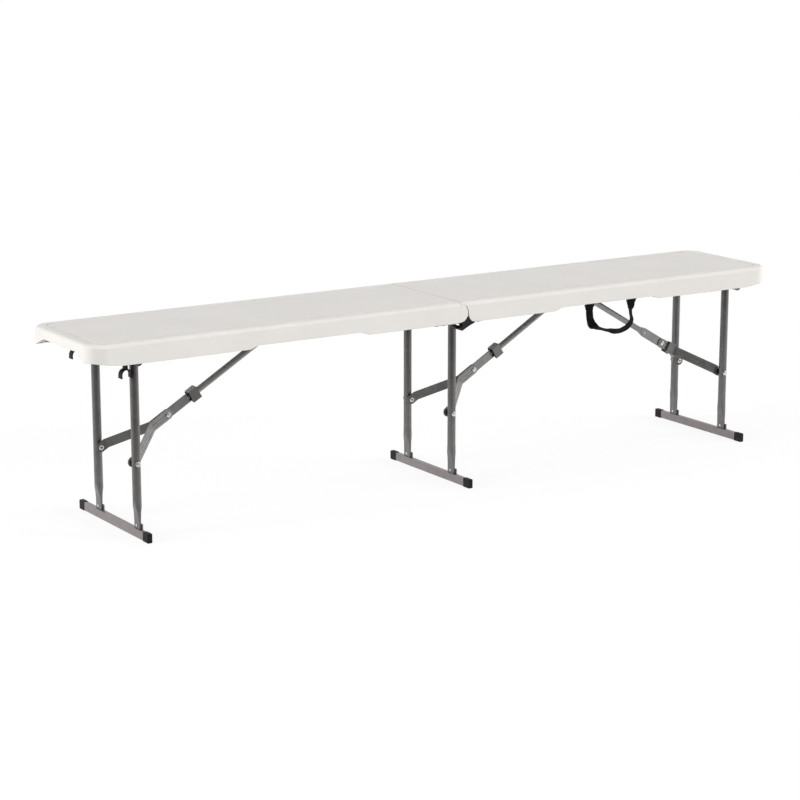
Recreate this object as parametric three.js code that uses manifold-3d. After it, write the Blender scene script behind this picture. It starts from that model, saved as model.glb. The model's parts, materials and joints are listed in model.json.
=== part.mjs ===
import * as THREE from 'three';
import { mergeVertices } from 'three/addons/utils/BufferGeometryUtils.js';
import Module from 'manifold-3d';

// A bench whose seat is two hollow-backed moulded halves, hinged in the middle so that they
// close face to face, on three leg frames that fold flat under them. Each frame is held open
// by a Y-shaped brace with a knee and a lock collar. Millimetres, X along the seat, Z up,
// floor at zero.

const wasm = await Module();
wasm.setup();

// Seat halves
const seatTop = 430;
const halfLength = 915;
const seatWidth = 302;
const cornerRadius = 42;
const edgeRound = 10;
const rimWall = 16;
const rimDepth = 47;
const rimBottom = seatTop - rimDepth;
const cornerRimRise = 8;
const cornerRimBottom = rimBottom + cornerRimRise;
const cornerRimReach = 12;
const cornerRimSlope = 62;
const panelThickness = 22;
const seamGap = 0.6;
const grooveInset = 23;
const grooveWidth = 4;
const grooveDepth = 1;
const archFootInset = 33;
const archSpread = 42;
const archFootHalf = seatWidth / 2 - archFootInset;
const archTopHalf = archFootHalf - archSpread;
const recessRise = 7;
const recessSlope = 20;
const leftRecessInset = 373;
const leftRecessLength = 297;
const rightRecessInset = 348;
const rightRecessLength = 304;
const leftRecessEnd = halfLength - leftRecessInset;
const rightRecessEnd = halfLength - rightRecessInset;
const leftRecess = [leftRecessEnd - leftRecessLength, leftRecessEnd];
const rightRecess = [rightRecessEnd - rightRecessLength, rightRecessEnd];

// Seam: the left half ends in a rounded nose that sits in a hollow end of the right half
const noseReach = 18;

// Centre hinge
const hingePinX = 3;
const hingePinDrop = 13;
const hingePinZ = rimBottom - hingePinDrop;
const hingePinRadius = 2.6;
const knuckleRadius = 4.8;
const leafThickness = 2.6;
const leafEnd = 64;
const leafStartLeft = 20;
const leafStartRight = 34;
const leafEdgeInset = 1.5;
const leafWidth = 28.5;
const leafPlateInset = 10;
const knuckleLength = 13.5;
const leafOuterY = seatWidth / 2 - leafEdgeInset;
const leafInnerY = leafOuterY - leafWidth;
const knuckleSplitY = leafOuterY - knuckleLength;
const leafBoltRadius = 4.5;
const leafBoltHead = 2;
const pinHead = 1.6;

// Leg frames
const pivotDepth = 47;
const pivotHeight = seatTop - pivotDepth;
const tubeRadius = 9.5;
const legInset = 59;
const legSpacing = seatWidth - 2 * legInset;
const tubeEndGap = 2;
const endTubeReach = seatWidth / 2 - rimWall - tubeEndGap;
const centreTubeGap = 5;
const centreTubeReach = leafInnerY - centreTubeGap;
const leftFrameInset = 117.5;
const rightFrameInset = 87;
const leftFrameX = leftFrameInset - halfLength;
const centreFrameX = 18;
const rightFrameX = halfLength - rightFrameInset;
const leftFrameY = -17;
const rightFrameY = 6;
const footOverhang = 13;
const footLength = seatWidth + 2 * footOverhang;
const footHeight = 18.6;
const footThickness = 9.5;
const capWall = 0.9;
const capLength = 21;
const capEdge = 1.5;
const legFlatThickness = 5.2;
const legFlatWidth = 26;
const legFlatHeight = 16;
const legTaper = 56;
const footTabHeight = 12;
const footTabThickness = 1.8;
const footTabEdge = 3;
const footRivetRadius = 2.8;
const footRivetHead = 1.4;
const footRivetRise = 7;

// Saddles that hold the cross tubes
const saddleWall = 3;
const saddleInset = 44;
const saddleY = legSpacing / 2 - saddleInset;
const saddleWidth = 24;
const saddleFlange = 19;
const saddleStem = 7;

// Braces
const armPivotDrop = 222;
const bracketSpacing = 22;
const strutPivotX = (rightFrameX - centreFrameX - bracketSpacing) / 2;
const strutPivotRise = 10.2;
const armLength = 142.6;
const armWidth = 22.4;
const armSheet = 2;
const armRib = 1;
const armStraight = 43;
const armTab = 15;
const spacerLength = 4.5;
const spacerRadius = 7;
const rivetShank = 3;
const rivetHeadRadius = 6;
const rivetHeadHeight = 2.2;
const strutRadius = 7.1;
const strutFlatHalf = armWidth / 2;
const strutFlatThickness = 3;
const strutFlatLength = 63;
const strutTaperEnd = 84;
const strutTail = 20;
const strutOverrun = 7;
const stopRivetAt = 77;
const stopRivetRadius = 2.6;
const stopRivetHead = 1.2;
const stopHoleRadius = 2.2;
const stopHoleAt = 59.5;
const strutPinRadius = 3.5;
const earThickness = 2.5;
const earWidth = 16;
const earPinEnd = 2;
const bracketFlange = 15;

// Lock collars
const collarLength = 22.5;
const collarWall = 1.8;
const collarPlay = 0.8;
const collarHeight = armWidth + 2 * (collarWall + collarPlay);
const collarParkedAt = 74;
const collarLockedAt = -29.5;

// Clips under the left end that hold the right frame's cross tube when folded
const clipWall = 2.8;
const clipWidth = 15;
const clipInset = 32;
const clipY = seatWidth / 2 - clipInset;
const clipLip = 6;
const clipBead = 1.9;
const clipFlange = 9;
const clipFlangeThickness = 3;
const clipClearance = 0.5;

// Carry strap
const strapWidth = 20.4;
const strapThickness = 1.6;
const strapEdgeInset = 8;
const strapY = strapEdgeInset - seatWidth / 2;
const strapLeftInset = 201;
const strapRightInset = 78;
const strapLeftX = rightRecessEnd - strapLeftInset;
const strapRightX = rightRecessEnd - strapRightInset;
const strapDepth = 69;
const strapRodRadius = 1.5;
const anchorDepth = 13;
const anchorPlate = 1.4;
const anchorCheek = 1.4;
const anchorCheekDepth = 6;
const anchorSideGap = 0.5;
const anchorWidth = strapWidth + 2 * (anchorCheek + anchorSideGap);

// Fits and fineness
const gap = 0.3;
const runningFit = 0.35;
const overrun = 5;
const strapRodDrop = strapRodRadius + strapThickness + anchorPlate + gap + 2 * runningFit;
const roundSteps = 16;
const arcSteps = 6;
const tinySteps = 10;

const shellMaterial = { color: 0xdad6d2, roughness: 0.55, metalness: 0 };
const frameMaterial = { color: 0x6b6968, roughness: 0.42, metalness: 0.25 };
const zincMaterial = { color: 0xc9cacb, roughness: 0.3, metalness: 0.9 };
const blackSteel = { color: 0x1b1b1c, roughness: 0.45, metalness: 0.2 };
const blackPlastic = { color: 0x1d1c1c, roughness: 0.6, metalness: 0 };
const webbing = { color: 0x171414, roughness: 0.9, metalness: 0 };

const bench = new THREE.Group();

// A closed geometry as a solid that can be cut and joined
function solid(geometry) {
  const bare = geometry.index ? geometry.clone() : geometry;
  bare.deleteAttribute('normal');
  bare.deleteAttribute('uv');
  const merged = mergeVertices(bare, 1e-4);
  return new wasm.Manifold(new wasm.Mesh({
    numProp: 3,
    vertProperties: new Float32Array(merged.attributes.position.array),
    triVerts: new Uint32Array(merged.index.array),
  }));
}

function geometryOf(manifold) {
  const mesh = manifold.getMesh();
  const geometry = new THREE.BufferGeometry();
  geometry.setAttribute('position', new THREE.BufferAttribute(mesh.vertProperties, 3));
  geometry.setIndex(new THREE.BufferAttribute(mesh.triVerts, 1));
  geometry.computeVertexNormals();
  return geometry;
}

function addPart(parent, name, shape, look) {
  const geometry = shape.isBufferGeometry ? shape : geometryOf(shape);
  const mesh = new THREE.Mesh(geometry, new THREE.MeshStandardMaterial(look));
  mesh.name = name;
  parent.add(mesh);
  return mesh;
}

function place(parent, x, y, z) {
  const group = new THREE.Group();
  group.position.set(x, y, z);
  parent.add(group);
  return group;
}

function outline(points) {
  return new THREE.Shape(points.map(([across, up]) => new THREE.Vector2(across, up)));
}

// An outline in X and Z, given a thickness along Y about a middle
function slab(shape, thickness, middleY = 0) {
  const geometry = new THREE.ExtrudeGeometry(shape, {
    depth: thickness, bevelEnabled: false, curveSegments: arcSteps,
  });
  geometry.rotateX(Math.PI / 2);
  geometry.translate(0, middleY + thickness / 2, 0);
  return geometry;
}

// An outline in X and Y, raised from one height to another
function raised(shape, low, high) {
  const geometry = new THREE.ExtrudeGeometry(shape, {
    depth: high - low, bevelEnabled: false, curveSegments: arcSteps,
  });
  geometry.translate(0, 0, low);
  return geometry;
}

function block(lowX, highX, lowY, highY, lowZ, highZ) {
  const geometry = new THREE.BoxGeometry(highX - lowX, highY - lowY, highZ - lowZ);
  geometry.translate((lowX + highX) / 2, (lowY + highY) / 2, (lowZ + highZ) / 2);
  return geometry;
}

// A round bar along Y between two places
function barY(radius, lowY, highY, x = 0, z = 0, steps = roundSteps) {
  const geometry = new THREE.CylinderGeometry(radius, radius, highY - lowY, steps);
  geometry.translate(x, (lowY + highY) / 2, z);
  return geometry;
}

function barX(radius, lowX, highX, y, z, steps = tinySteps) {
  const geometry = new THREE.CylinderGeometry(radius, radius, highX - lowX, steps);
  geometry.rotateZ(Math.PI / 2);
  geometry.translate((lowX + highX) / 2, y, z);
  return geometry;
}

// A domed head on the XZ plane, pointing to +Y or -Y
function head(radius, height, way, x, y, z, steps = tinySteps) {
  const rimShare = 0.35;
  const shoulderShares = [0.78, 0.85];
  const profile = [
    new THREE.Vector2(0, 0),
    new THREE.Vector2(radius, 0),
    new THREE.Vector2(radius, height * rimShare),
    new THREE.Vector2(radius * shoulderShares[0], height * shoulderShares[1]),
    new THREE.Vector2(0, height),
  ];
  const geometry = new THREE.LatheGeometry(profile, steps);
  if (way < 0) geometry.rotateX(Math.PI);
  geometry.translate(x, y, z);
  return geometry;
}

// The seat's plan outline, drawn in by an inset; the seam end is square and runs past the seam
function planOutline(side, inset, seamEnd) {
  const endX = halfLength - inset;
  const sideY = seatWidth / 2 - inset;
  const radius = Math.max(cornerRadius - inset, edgeRound);
  const shape = new THREE.Shape();
  if (side > 0) {
    shape.moveTo(seamEnd, -sideY);
    shape.lineTo(endX - radius, -sideY);
    shape.absarc(endX - radius, -sideY + radius, radius, -Math.PI / 2, 0, false);
    shape.absarc(endX - radius, sideY - radius, radius, 0, Math.PI / 2, false);
    shape.lineTo(seamEnd, sideY);
  } else {
    shape.moveTo(seamEnd, sideY);
    shape.lineTo(-endX + radius, sideY);
    shape.absarc(-endX + radius, sideY - radius, radius, Math.PI / 2, Math.PI, false);
    shape.absarc(-endX + radius, -sideY + radius, radius, Math.PI, Math.PI * 1.5, false);
    shape.lineTo(seamEnd, -sideY);
  }
  return shape;
}

// The nose's outline from the top down, as shares of its reach and of the rim's depth
const noseShares = [
  [0, 0.05], [0.33, 0.09], [0.66, 0.18], [0.89, 0.31], [1, 0.45], [1.03, 0.56],
  [0.95, 0.7], [0.74, 0.83], [0.4, 0.94], [-0.1, 0.985], [-0.66, 1],
];
const mouthShares = [
  [0, 0.05], [0.33, 0.09], [0.66, 0.18], [0.89, 0.31], [1, 0.45], [1.04, 0.6],
  [1.12, 0.72], [1.3, 0.86], [1.62, 0.97], [2.1, 1],
];
// The right hinge leaf's arm, which follows the nose up into the mouth, in the same shares
const hugShares = [
  [2.05, 1.007], [1.56, 0.99], [1.24, 0.87], [1.08, 0.74], [1.01, 0.74], [0.83, 0.85],
  [0.53, 0.955], [0.2, 1.01],
];
const hugUnderShares = [[0.9, 1.24], [1.5, 1.13], [2.05, 1.061]];

function seamPoints(shares, shift) {
  const depth = seatTop - rimBottom;
  return shares.map(([out, down]) => [out * noseReach + shift, seatTop - down * depth]);
}

// The side view of a half: seam, rim bottom with its raised stretch, and raised end corners
function sideOutline(side, recess) {
  const above = seatTop + overrun;
  const seam = side < 0
    ? [[-seamGap / 2, above], ...seamPoints(noseShares, -seamGap / 2)]
    : [[seamGap / 2, above], ...seamPoints(mouthShares, seamGap / 2)];
  const bottom = [
    [recess[0], rimBottom],
    [recess[0] + recessSlope, rimBottom + recessRise],
    [recess[1] - recessSlope, rimBottom + recessRise],
    [recess[1], rimBottom],
    [halfLength - cornerRimReach - cornerRimSlope, rimBottom],
    [halfLength - cornerRimReach, cornerRimBottom],
    [halfLength + overrun, cornerRimBottom],
    [halfLength + overrun, above],
  ].map(([x, z]) => [side * x, z]);
  return outline([...seam, ...bottom]);
}

function seatHalf(side, recess) {
  const pastSeam = -side * 4 * overrun;
  const seamEnd = side < 0 ? noseReach + 4 * overrun : pastSeam;
  const skinLow = rimBottom - 4 * overrun;
  const skin = new THREE.ExtrudeGeometry(planOutline(side, edgeRound, seamEnd), {
    depth: seatTop - edgeRound - skinLow,
    bevelThickness: edgeRound, bevelSize: edgeRound, bevelSegments: 4, curveSegments: arcSteps + 1,
  });
  skin.translate(0, 0, skinLow);
  const profile = slab(sideOutline(side, recess), seatWidth + 2 * overrun);
  const ceiling = seatTop - panelThickness;
  const pastCavity = side < 0 ? noseReach + 5 * overrun : pastSeam - overrun;
  const hollow = raised(planOutline(side, rimWall, pastCavity), rimBottom - overrun, ceiling);
  const archLow = rimBottom - overrun;
  const archLean = (archFootHalf - archTopHalf) * (ceiling - archLow) / (ceiling - cornerRimBottom);
  const arch = raised(outline([
    [-archTopHalf - archLean, archLow], [archTopHalf + archLean, archLow],
    [archTopHalf, ceiling], [-archTopHalf, ceiling],
  ]), -rimWall - overrun, overrun);
  arch.rotateX(Math.PI / 2);
  arch.rotateZ(side * Math.PI / 2);
  arch.translate(side * halfLength, 0, 0);
  const grooveFloor = seatTop - grooveDepth;
  const grooveOuter = raised(planOutline(side, grooveInset, seamEnd), grooveFloor, seatTop + overrun);
  const grooveInner = raised(
    planOutline(side, grooveInset + grooveWidth, seamEnd + overrun * Math.sign(seamEnd)),
    grooveFloor - overrun, seatTop + 2 * overrun);
  const groove = solid(grooveOuter).subtract(solid(grooveInner));
  return solid(skin).intersect(solid(profile)).subtract(solid(hollow)).subtract(solid(arch))
    .subtract(groove);
}

addPart(bench, 'seat_half_left', seatHalf(-1, leftRecess), shellMaterial);
addPart(bench, 'seat_half_right', seatHalf(1, rightRecess), shellMaterial);

// Hinge leaves: a plate bolted under the rim, and a knuckle round the pin; the right leaf
// carries the pin
function hingeLeaf(side, way) {
  const top = rimBottom - gap;
  const start = side < 0 ? leafStartLeft : leafStartRight;
  const nearY = way * leafInnerY;
  const farY = way * leafOuterY;
  const splitY = way * knuckleSplitY;
  const edges = side < 0 ? [nearY, splitY - way * gap / 2] : [splitY + way * gap / 2, farY];
  const tongueLow = Math.min(...edges);
  const tongueHigh = Math.max(...edges);
  const plateXs = [side * start, side * leafEnd].sort((a, b) => a - b);
  const plateYs = [nearY, farY - way * leafPlateInset].sort((a, b) => a - b);
  let leaf = solid(block(plateXs[0], plateXs[1], plateYs[0], plateYs[1],
    top - leafThickness, top));
  const armEnd = [[hingePinX, hingePinZ + knuckleRadius], [hingePinX, hingePinZ - knuckleRadius]];
  const web = side < 0
    ? outline([
      [-start - leafThickness, top - leafThickness], [-start - leafThickness, top],
      [-start, top], ...armEnd,
    ])
    : outline([...seamPoints(hugShares, 0), ...armEnd, ...seamPoints(hugUnderShares, 0)]);
  const span = tongueHigh - tongueLow;
  leaf = leaf.add(solid(slab(web, span, (tongueLow + tongueHigh) / 2)));
  leaf = leaf.add(solid(barY(knuckleRadius, tongueLow, tongueHigh, hingePinX, hingePinZ)));
  for (const share of [0.35, 0.8]) {
    const boltX = side * (start + (leafEnd - start) * share);
    const bolt = new THREE.CylinderGeometry(leafBoltRadius, leafBoltRadius, leafBoltHead + gap, 6);
    bolt.rotateX(Math.PI / 2);
    bolt.translate(boltX, (plateYs[0] + plateYs[1]) / 2,
      top - leafThickness - (leafBoltHead - gap) / 2);
    leaf = leaf.add(solid(bolt));
  }
  if (side < 0) {
    const bore = barY(hingePinRadius + runningFit, tongueLow - overrun, tongueHigh + overrun,
      hingePinX, hingePinZ);
    return leaf.subtract(solid(bore));
  }
  const pinEnd = nearY - way * (gap + pinHead);
  const pin = barY(hingePinRadius, Math.min(pinEnd, farY), Math.max(pinEnd, farY),
    hingePinX, hingePinZ);
  const headLow = Math.min(pinEnd, nearY - way * gap);
  const headHigh = Math.max(pinEnd, nearY - way * gap);
  const button = barY(knuckleRadius, headLow, headHigh, hingePinX, hingePinZ);
  return leaf.add(solid(pin)).add(solid(button));
}

for (const [place_, way] of [['front', -1], ['rear', 1]]) {
  addPart(bench, `hinge_leaf_left_${place_}`, hingeLeaf(-1, way), blackSteel);
  addPart(bench, `hinge_leaf_right_${place_}`, hingeLeaf(1, way), blackSteel);
}

// Clips: open downwards, round the place where the right frame's cross tube comes to lie
function tubeClip() {
  const inner = tubeRadius + clipClearance;
  const outer = inner + clipWall;
  const tubeZ = 2 * hingePinZ - pivotHeight;
  const ceiling = seatTop - panelThickness - gap;
  const shape = new THREE.Shape();
  shape.moveTo(-outer, -clipLip);
  shape.lineTo(-inner, -clipLip);
  shape.lineTo(-inner, 0);
  shape.absarc(0, 0, inner, Math.PI, 0, true);
  shape.lineTo(inner, -clipLip);
  shape.lineTo(outer, -clipLip);
  shape.lineTo(outer, 0);
  shape.absarc(0, 0, outer, 0, Math.PI, false);
  const hook = slab(shape, clipWidth);
  hook.translate(0, 0, tubeZ);
  const beads = [-1, 1].map((way) => solid(barY(clipBead, -clipWidth / 2, clipWidth / 2,
    way * (outer - clipWall / 2), tubeZ - clipLip, tinySteps)));
  const stem = block(-clipWall, clipWall, -clipWidth / 2, clipWidth / 2,
    tubeZ + inner + clipWall / 2, ceiling);
  const flange = block(-outer, outer, -clipWidth / 2, clipWidth / 2,
    ceiling - clipFlangeThickness, ceiling);
  const pad = block(-clipFlange, clipFlange, -clipWidth / 2, clipWidth / 2,
    ceiling - 2 * clipFlangeThickness, ceiling - clipFlangeThickness / 2);
  return solid(hook).add(solid(stem)).add(solid(flange)).add(solid(pad))
    .add(beads[0]).add(beads[1]);
}

for (const [place_, way] of [['front', -1], ['rear', 1]]) {
  const spot = place(bench, 2 * hingePinX - rightFrameX, way * clipY, 0);
  addPart(spot, `tube_clip_${place_}`, tubeClip(), blackPlastic);
}

// The brace's straight line at rest, from the arm pivots up to the strut's pivot
const braceRise = armPivotDrop + strutPivotRise;
const braceLength = Math.hypot(strutPivotX, braceRise);
const strutLength = braceLength - armLength;
const braceAngle = Math.atan2(braceRise, strutPivotX);
const armFace = strutFlatThickness / 2 + runningFit + armSheet + armRib;
const collarInnerY = Math.max(armFace + gap + rivetHeadHeight, strutRadius) + 2 * runningFit;
const kneeX = armLength * Math.cos(braceAngle);
const kneeZ = armLength * Math.sin(braceAngle) - armPivotDrop;

// A leg: a round tube, pressed flat where it stands on the foot bar and is riveted to its tab
function leg(side, turn) {
  const low = capWall + gap + footHeight + gap;
  const height = pivotHeight - low;
  const rows = 7;
  const geometry = new THREE.CylinderGeometry(tubeRadius, tubeRadius, height, roundSteps, rows);
  geometry.rotateX(Math.PI / 2);
  geometry.translate(0, 0, -height / 2);
  const spots = geometry.attributes.position;
  const bottom = -height;
  for (let i = 0; i < spots.count; i += 1) {
    const row = Math.round((spots.getZ(i) - bottom) / height * rows);
    const climb = row < rows ? row / (rows - 1) : 1;
    const z = row < rows
      ? bottom + climb * (legFlatHeight + legTaper)
      : 0;
    const above = Math.max(0, z - bottom - legFlatHeight) / legTaper;
    const blend = Math.min(1, above) ** 2 * (3 - 2 * Math.min(1, above));
    const wide = THREE.MathUtils.lerp(legFlatWidth / 2, tubeRadius, blend) / tubeRadius;
    const thin = THREE.MathUtils.lerp(legFlatThickness / 2, tubeRadius, blend) / tubeRadius;
    const squareness = THREE.MathUtils.lerp(2.2, 1, blend);
    const x = THREE.MathUtils.clamp(spots.getX(i) * squareness, -tubeRadius, tubeRadius);
    spots.setXYZ(i, x * thin, spots.getY(i) * wide, z);
  }
  geometry.translate(0, side * legSpacing / 2, 0);
  const cope = barY(tubeRadius + gap, -endTubeReach, endTubeReach);
  const hole = barY(rivetShank + runningFit, -seatWidth / 2, seatWidth / 2, 0, -armPivotDrop, tinySteps);
  const rivet = head(footRivetRadius, footRivetHead, 1, 0, 0, 0);
  rivet.rotateZ(turn * Math.PI / 2);
  rivet.translate(turn * (gap - legFlatThickness / 2), side * legSpacing / 2,
    bottom + footRivetRise);
  return solid(geometry).subtract(solid(cope)).subtract(solid(hole)).add(solid(rivet));
}

// The rivet that carries an arm: outer head, shank through the leg, and a spacer inside it
function armRivet(side) {
  const legOuter = legSpacing / 2 + tubeRadius;
  const legInner = legSpacing / 2 - tubeRadius;
  const spacerIn = legInner - gap - spacerLength;
  const outerHead = head(rivetHeadRadius, rivetHeadHeight, side, 0,
    side * (legOuter + gap), -armPivotDrop);
  const ends = [side * (legInner - gap), side * (legOuter + gap)].sort((a, b) => a - b);
  const shank = barY(rivetShank, ends[0], ends[1], 0, -armPivotDrop, tinySteps);
  const spacerEnds = [side * spacerIn, side * (legInner - gap)].sort((a, b) => a - b);
  const spacer = barY(spacerRadius, spacerEnds[0], spacerEnds[1], 0, -armPivotDrop);
  return solid(shank).add(solid(outerHead)).add(solid(spacer));
}

// An arm of the brace: pressed sheet with long ribs, straight beside the knee, then splayed out
// to its leg. Drawn along the brace, with the knee at zero.
function arm(side) {
  const kneeIn = strutFlatThickness / 2 + runningFit;
  const legIn = legSpacing / 2 - tubeRadius - 2 * gap - spacerLength - armSheet - armRib;
  const half = armWidth / 2;
  const inner = [
    [-armLength - half, legIn], [-armLength + armTab, legIn], [-armStraight, kneeIn], [half, kneeIn],
  ];
  const strip = (thickness, low, high) => {
    const outer = inner.map(([x, y]) => [x, y + thickness]).reverse();
    const points = [...inner, ...outer].map(([x, y]) => [x, y * side]);
    return solid(raised(outline(points), low, high));
  };
  let body = strip(armSheet, -half, half);
  const ribShares = [[-0.8, -0.45], [-0.17, 0.17], [0.45, 0.8]];
  for (const [low, high] of ribShares) {
    body = body.add(strip(armSheet + armRib, low * half, high * half));
  }
  const ends = new THREE.Shape();
  ends.absarc(0, 0, half, -Math.PI / 2, Math.PI / 2, false);
  ends.absarc(-armLength, 0, half, Math.PI / 2, Math.PI * 1.5, false);
  body = body.intersect(solid(slab(ends, seatWidth)));
  const bore = barY(rivetShank + runningFit, -seatWidth / 2, seatWidth / 2, 0, 0, tinySteps);
  body = body.subtract(solid(bore));
  return body.add(solid(head(rivetHeadRadius, rivetHeadHeight + gap, -side, -armLength,
    side * (legIn + gap), 0)));
}

// The knee's rivet: through both arms and the strut, with a head at each end
function kneeRivet() {
  const face = armFace + gap;
  const shank = barY(rivetShank, -face, face, 0, 0, tinySteps);
  return solid(shank).add(solid(head(rivetHeadRadius, rivetHeadHeight, 1, 0, face, 0)))
    .add(solid(head(rivetHeadRadius, rivetHeadHeight, -1, 0, -face, 0)));
}

// The strut: a round tube, pressed flat towards the knee. Drawn along the brace from the knee.
function strut() {
  const rows = 8;
  const total = strutTail + strutLength + strutOverrun;
  const geometry = new THREE.CylinderGeometry(strutRadius, strutRadius, total, roundSteps, rows);
  geometry.rotateZ(-Math.PI / 2);
  const spots = geometry.attributes.position;
  for (let i = 0; i < spots.count; i += 1) {
    const row = Math.round((spots.getX(i) / total + 0.5) * rows);
    const taperShare = THREE.MathUtils.clamp((row - 1) / (rows - 2), 0, 1);
    let x = THREE.MathUtils.lerp(strutFlatLength, strutTaperEnd, taperShare);
    if (row === 0) x = -strutTail;
    if (row === rows) x = strutLength + strutOverrun;
    const blend = row === 0 ? 0 : taperShare ** 2 * (3 - 2 * taperShare);
    const thin = THREE.MathUtils.lerp(strutFlatThickness / 2, strutRadius, blend) / strutRadius;
    const tall = THREE.MathUtils.lerp(strutFlatHalf, strutRadius, blend) / strutRadius;
    const squareness = THREE.MathUtils.lerp(2.6, 1, blend);
    const y = THREE.MathUtils.clamp(spots.getY(i) * squareness, -strutRadius, strutRadius);
    spots.setXYZ(i, x, y * thin, spots.getZ(i) * tall);
  }
  const rounded = new THREE.Shape();
  rounded.absarc(strutFlatHalf - strutTail, 0, strutFlatHalf + gap, Math.PI / 2, Math.PI * 1.5, false);
  rounded.lineTo(strutLength + 2 * strutOverrun, -strutFlatHalf - gap);
  rounded.lineTo(strutLength + 2 * strutOverrun, strutFlatHalf + gap);
  let body = solid(geometry).intersect(solid(slab(rounded, 4 * strutRadius)));
  const bore = (radius, x) => solid(barY(radius, -2 * strutRadius, 2 * strutRadius, x, 0, tinySteps));
  body = body.subtract(bore(strutPinRadius + runningFit, strutLength));
  body = body.subtract(bore(rivetShank + runningFit, 0));
  body = body.subtract(bore(stopHoleRadius, stopHoleAt));
  const stopFace = collarInnerY - gap - stopRivetHead;
  for (const way of [-1, 1]) {
    body = body.add(solid(head(stopRivetRadius, stopRivetHead, way, stopRivetAt,
      way * stopFace, 0)));
  }
  return body.add(solid(barY(stopRivetRadius, -stopFace, stopFace, stopRivetAt, 0, tinySteps)));
}

// The bracket under the seat with the pin that the strut turns on
function strutBracket() {
  const ceiling = seatTop - panelThickness - gap - pivotHeight;
  const earIn = strutRadius + runningFit;
  const ear = new THREE.Shape();
  ear.moveTo(-earWidth / 2, ceiling);
  ear.lineTo(-earWidth / 2, strutPivotRise);
  ear.absarc(0, strutPivotRise, earWidth / 2, Math.PI, Math.PI * 2, false);
  ear.lineTo(earWidth / 2, ceiling);
  const ears = [-1, 1].map((way) => solid(slab(ear, earThickness, way * (earIn + earThickness / 2))));
  const base = block(-earWidth / 2, earWidth / 2, -earIn - earThickness - bracketFlange,
    earIn + earThickness + bracketFlange, ceiling - earThickness, ceiling);
  const pinEnd = earIn + earThickness + earPinEnd;
  const pin = barY(strutPinRadius, -pinEnd, pinEnd, 0, strutPivotRise, tinySteps);
  return solid(base).add(ears[0]).add(ears[1]).add(solid(pin));
}

// The lock collar: bent strip round both arms, with its open seam facing down
function collar() {
  const outerZ = collarHeight / 2;
  const innerZ = outerZ - collarWall;
  const mouth = armFace + 2 * runningFit;
  const outerY = collarInnerY + collarWall;
  const half = collarLength / 2;
  const ring = solid(block(-half, half, -outerY, outerY, -outerZ, outerZ));
  const inside = solid(block(-collarLength, collarLength, -collarInnerY, collarInnerY, -innerZ, innerZ));
  const open = solid(block(-collarLength, collarLength, -mouth, mouth, -2 * outerZ, 0));
  return ring.subtract(inside).subtract(open);
}

// A saddle: a ring round the cross tube, hung from a flange on the seat
function saddle() {
  const ceiling = seatTop - panelThickness - gap - pivotHeight;
  const outer = tubeRadius + runningFit + saddleWall;
  const flange = solid(block(-saddleFlange, saddleFlange, -saddleWidth / 2, saddleWidth / 2,
    ceiling - saddleWall, ceiling));
  const stem = solid(block(-saddleStem, saddleStem, -saddleWidth / 2, saddleWidth / 2,
    0, ceiling));
  const ring = solid(barY(outer, -saddleWidth / 2, saddleWidth / 2));
  const bore = solid(barY(tubeRadius + runningFit, -saddleWidth, saddleWidth));
  return flange.add(stem).add(ring).subtract(bore);
}

// The foot bar, with a tab standing up behind the flat end of each leg
function footBar(y) {
  const low = capWall + gap;
  const high = low + footHeight;
  const half = footLength / 2 - capWall - gap;
  let bar = solid(block(-footThickness / 2, footThickness / 2, -half, half, low, high));
  const near = legFlatThickness / 2 + gap;
  const far = near + footTabThickness;
  const wide = legFlatWidth / 2 + footTabEdge;
  for (const way of [-1, 1]) {
    const middle = y + way * legSpacing / 2;
    const tab = block(near, far, middle - wide, middle + wide, high - footTabThickness,
      high + footTabHeight);
    const rivet = head(footRivetRadius, footRivetHead, -1, 0, 0, 0);
    rivet.rotateZ(Math.PI / 2);
    rivet.translate(far - gap, middle, high + gap + footRivetRise);
    bar = bar.add(solid(tab)).add(solid(rivet));
  }
  return bar;
}

// A cap slipped over an end of the foot bar; the bench stands on it
function footCap(side) {
  const wide = footThickness / 2 + gap + capWall;
  const high = footHeight + 2 * (gap + capWall);
  const shape = new THREE.Shape();
  shape.moveTo(-wide + capEdge, 0);
  shape.lineTo(wide - capEdge, 0);
  shape.lineTo(wide, capEdge);
  shape.lineTo(wide, high - capEdge);
  shape.lineTo(wide - capEdge, high);
  shape.lineTo(-wide + capEdge, high);
  shape.lineTo(-wide, high - capEdge);
  shape.lineTo(-wide, capEdge);
  const middle = side * (footLength / 2 - capLength / 2);
  const body = slab(shape, capLength, middle);
  const slotEnd = footLength / 2 - capWall;
  const slotStart = footLength / 2 - capLength - overrun;
  const slotEnds = [side * slotStart, side * slotEnd].sort((a, b) => a - b);
  const slot = block(-footThickness / 2 - gap, footThickness / 2 + gap, slotEnds[0], slotEnds[1],
    capWall, capWall + footHeight + 2 * gap);
  return solid(body).subtract(solid(slot));
}

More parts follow.
